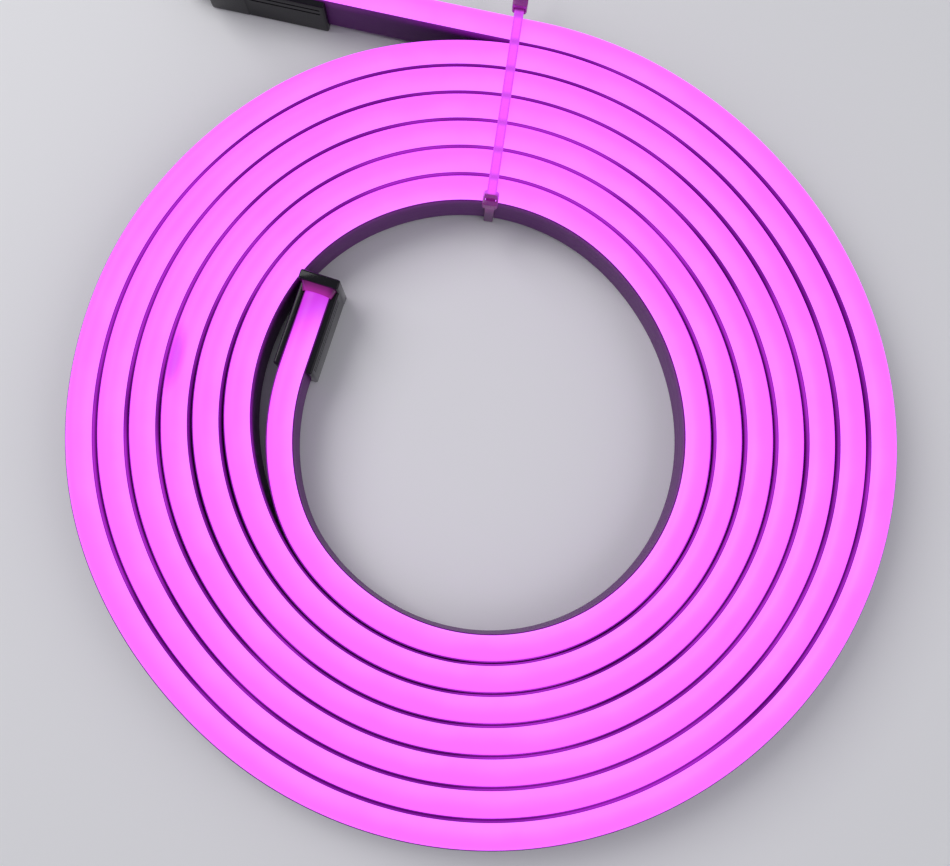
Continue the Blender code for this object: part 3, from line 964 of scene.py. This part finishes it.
def slot_mesh(ties, start, put):
    """Cutter for a head's slot, flared at both mouths. put(along, across, thick) sets its points."""
    depth = ties.head_depth
    stations = [(-SLOT_SPARE, FLARE + SLOT_SPARE), (0.0, FLARE), (FLARE, 0.0)]
    stations += [(depth - FLARE, 0.0), (depth, FLARE), (depth + SLOT_SPARE, FLARE + SLOT_SPARE)]
    half_thick = ties.strap / 2.0 + TIE_FIT
    half_wide = ties.strap_width / 2.0 + TIE_FIT
    corners = ((1.0, 1.0), (-1.0, 1.0), (-1.0, -1.0), (1.0, -1.0))

    def place(row, point):
        reach, grow = stations[row]
        across, thick = corners[point]
        return (put(start + reach, across * (half_wide + grow), thick * (half_thick + grow)),)

    return wrap_grid(len(stations) - 1, len(corners), place)


def head_block(ties, low_x, high_x, low_z, high_z):
    """A head's block, as wide as both heads are."""
    half = ties.head_width / 2.0
    return rounded_block((low_x, -half, low_z), (high_x, half, high_z), ties.edge_round, 3, ties.head_round)


def pawl_block(low_x, high_x, low_z, high_z):
    """The pawl that holds a strap in its slot."""
    return rounded_block((low_x, -PAWL_HALF, low_z), (high_x, PAWL_HALF, high_z), PAWL_ROUND, 2)


def corner_arc(x, z, radius, start, stop):
    """Points of a quarter bend about a middle in the X and Z plane, angles in degrees."""
    count = 8
    turns = [math.radians(start + (stop - start) * i / count) for i in range(count + 1)]
    return [(x + radius * math.cos(turn), z + radius * math.sin(turn)) for turn in turns]


class TieFrame:
    """Where the ties lie: their placement and the turns that they cross."""

    def __init__(self, flex, ties):
        roll = Roll(flex)
        start = roll.point(ties.inner_angle + math.tau)
        start.z = 0.0
        reach = crossings(roll.line()[0], start, direction(ties.heading))
        self.turns = [place for place in reach if place > -flex.width]
        self.placement = Matrix.Translation(start) @ Matrix.Rotation(ties.heading, 4, "Z")
        self.inner = self.turns[0] - flex.width / 2.0
        self.outer = self.turns[-1] + flex.width / 2.0
        self.top = flex.lift + flex.height + TIE_FIT
        self.half = flex.width / 2.0
        self.lean = ties.lean

    def over_dome(self, place):
        """1 over the middle of a turn and 0 over a gap."""
        off = min(abs(place.x + self.lean - turn) for turn in self.turns)
        return 1.0 - smooth_step((off - BRIGHT_HALF * self.half) / (BRIGHT_FADE * self.half))

    def over_roll(self, place):
        """1 over the roll and 0 beyond its sides."""
        if place.z <= self.top - STRAP_UNDER:
            return 0.0
        inside = min(place.x - self.inner, self.outer - place.x)
        return smooth_step((inside + SIDE_MARGIN) / SIDE_FADE)

    def level(self, place):
        """1 at the lit face, fading below it and beyond the roll's sides."""
        beyond = max(self.inner - place.x, place.x - self.outer, 0.0)
        return smooth_step((place.z - DARK_BELOW) / DARK_RISE) * (1.0 - smooth_step(beyond / DARK_BEYOND))


def finish_tie(name, node, mesh, tie_frame, finish):
    # Masks of the painted light in the nylon
    keep_number(mesh, "bright", tie_frame.over_dome)
    keep_number(mesh, "body", tie_frame.over_roll)
    keep_number(mesh, "level", tie_frame.level)
    keep_number(mesh, "side", lambda place: place.y)
    smooth_mesh(mesh)
    mesh.transform(tie_frame.placement)
    add_piece(name, mesh, finish, node)


def top_tie_mesh(ties, at):
    """Head on the roll's inner edge, strap over the turns and tail past the other head."""
    middle = at.inner - ties.gap - ties.strap / 2.0
    height = at.top + ties.strap / 2.0
    end = at.outer + ties.gap + ties.head_depth + ties.top_tail
    strap = strap_mesh(ties, [(middle + ties.head_length / 4.0, height), (end, height)])
    half = ties.head_length / 2.0
    head = head_block(ties, middle - half, middle + half, at.top, at.top + ties.head_depth)
    slot = slot_mesh(ties, at.top, lambda along, across, thick: Vector((middle + thick, across, along)))
    wall = middle + ties.strap / 2.0 + TIE_FIT
    pawl = pawl_block(wall - PAWL_OUT, wall + PAWL_ROOT, at.top + PAWL_FROM, at.top + PAWL_TO)
    return joined(strap, ("UNION", head), ("DIFFERENCE", slot), ("UNION", pawl))


def under_tie_mesh(ties, at):
    """Head on the roll's outer side, strap down, under the turns and up through the other head."""
    thick = ties.strap / 2.0
    right = at.outer + ties.gap
    left = at.inner - ties.gap
    level = at.top + thick
    path = [(right + thick, at.top - ties.head_width / 4.0)]
    path += corner_arc(right + ties.strap - ties.bend, ties.bend, ties.bend - thick, 0.0, -90.0)
    path += corner_arc(left - ties.strap + ties.bend, ties.bend, ties.bend - thick, -90.0, -180.0)
    path.append((left - thick, at.top + ties.head_depth + ties.under_tail))
    half = ties.head_length / 2.0
    head = head_block(ties, right, right + ties.head_depth, level - half, level + half)
    slot = slot_mesh(ties, right, lambda along, across, deep: Vector((along, across, level + deep)))
    wall = level - thick - TIE_FIT
    pawl = pawl_block(right + PAWL_FROM, right + PAWL_TO, wall - PAWL_ROOT, wall + PAWL_OUT)
    return joined(strap_mesh(ties, path), ("UNION", head), ("DIFFERENCE", slot), ("UNION", pawl))


class NEONFLEX_OT_ties(bpy.types.Operator):
    """Close the two cable ties round the turns, each through the other's head"""

    bl_idname = "neonflex.ties"
    bl_label = "Cable ties"

    def execute(self, context):
        ties = context.scene.neon_ties
        at = TieFrame(context.scene.neon_flex, ties)
        finish = nylon_finish(ties)
        finish_tie("tie_over_turns", "cable_tie_top", top_tie_mesh(ties, at), at, finish)
        finish_tie("tie_under_turns", "cable_tie_under", under_tie_mesh(ties, at), at, finish)
        return {"FINISHED"}


# Stage

def soft_light(name, place, side, power):
    """A square light that is turned to the middle of the part."""
    light = bpy.data.lights.new(name, "AREA")
    light.shape = "SQUARE"
    light.size = side
    light.energy = power
    item = add_object(name, light)
    item.location = place
    item.rotation_euler = (-Vector(place)).to_track_quat("-Z", "Y").to_euler()


class NEONFLEX_OT_stage(bpy.types.Operator):
    """Set up the plain floor, the soft lights and the camera that looks down on the roll"""

    bl_idname = "neonflex.stage"
    bl_label = "Stage"

    def execute(self, context):
        stage = context.scene.neon_stage
        self.make_floor(stage)
        self.make_lights(context.scene, stage)
        self.make_camera(context.scene, stage)
        context.scene.view_settings.view_transform = "Standard"
        context.scene.view_settings.look = "None"
        return {"FINISHED"}

    def make_floor(self, stage):
        shape = bmesh.new()
        bmesh.ops.create_grid(shape, x_segments=4, y_segments=4, size=stage.floor_size / 2.0)
        mesh = mesh_from(shape, "floor")
        finish = Finish("floor_paint")
        haze = finish.noise(finish.place(), FLOOR_HAZE)
        shade = [tone * 0.97 for tone in stage.floor_colour]
        finish.surface(Base_Color=finish.blend(haze, shade, stage.floor_colour), Roughness=0.7)
        mesh.materials.append(finish.material)
        add_object("floor", mesh)

    def make_lights(self, scene, stage):
        world = bpy.data.worlds.new("studio")
        world.use_nodes = True
        background = world.node_tree.nodes["Background"]
        background.inputs["Color"].default_value = (*stage.world_colour, 1.0)
        background.inputs["Strength"].default_value = stage.world_strength
        scene.world = world
        for light in LIGHTS:
            soft_light(*light)

    def make_camera(self, scene, stage):
        data = bpy.data.cameras.new("camera")
        data.sensor_width = stage.sensor
        data.lens = stage.lens
        data.clip_start = 0.01
        data.clip_end = 20.0
        camera = add_object("camera", data)
        back = Vector((-math.sin(stage.side), -math.cos(stage.side) * math.sin(stage.tilt),
                       math.cos(stage.side) * math.cos(stage.tilt)))
        up = Vector((0.0, math.cos(stage.tilt), math.sin(stage.tilt)))
        right = up.cross(back)
        turn = Matrix((right, up, back)).transposed().to_4x4()
        camera.matrix_world = Matrix.Translation(Vector(stage.aim) + back * stage.distance) @ turn
        scene.camera = camera


# Sidebar and registration

class NEONFLEX_PT_build(bpy.types.Panel):
    """Operators that build the roll, and its main sizes"""

    bl_idname = "NEONFLEX_PT_build"
    bl_label = "Neon flex roll"
    bl_space_type = "VIEW_3D"
    bl_region_type = "UI"
    bl_category = "Neon Flex"

    def draw(self, context):
        for operator in OPERATORS:
            self.layout.operator(operator.bl_idname)
        column = self.layout.column()
        for name in ("width", "height", "dome", "turn_gap"):
            column.prop(context.scene.neon_flex, name)
        for name in ("inner_colour", "outer_painted_shade_colour", "wall_painted_light"):
            column.prop(context.scene.neon_glow, name)


OPERATORS = (NEONFLEX_OT_stage, NEONFLEX_OT_fittings, NEONFLEX_OT_gland, NEONFLEX_OT_flex, NEONFLEX_OT_ties)
GROUPS = {
    "neon_flex": NeonFlexSizes,
    "neon_glow": NeonFlexGlow,
    "neon_fittings": NeonFittingSizes,
    "neon_ties": NeonTieSizes,
    "neon_stage": NeonStageSizes,
}


def register():
    for group in (*GROUPS.values(), *OPERATORS, NEONFLEX_PT_build):
        bpy.utils.register_class(group)
    for name, group in GROUPS.items():
        setattr(bpy.types.Scene, name, PointerProperty(type=group))


def unregister():
    for name in GROUPS:
        delattr(bpy.types.Scene, name)
    for group in (NEONFLEX_PT_build, *reversed(OPERATORS), *GROUPS.values()):
        bpy.utils.unregister_class(group)


def main():
    register()
    bpy.ops.neonflex.stage()
    bpy.ops.neonflex.fittings()
    bpy.ops.neonflex.gland()
    bpy.ops.neonflex.flex()
    bpy.ops.neonflex.ties()


if __name__ == "__main__":
    main()
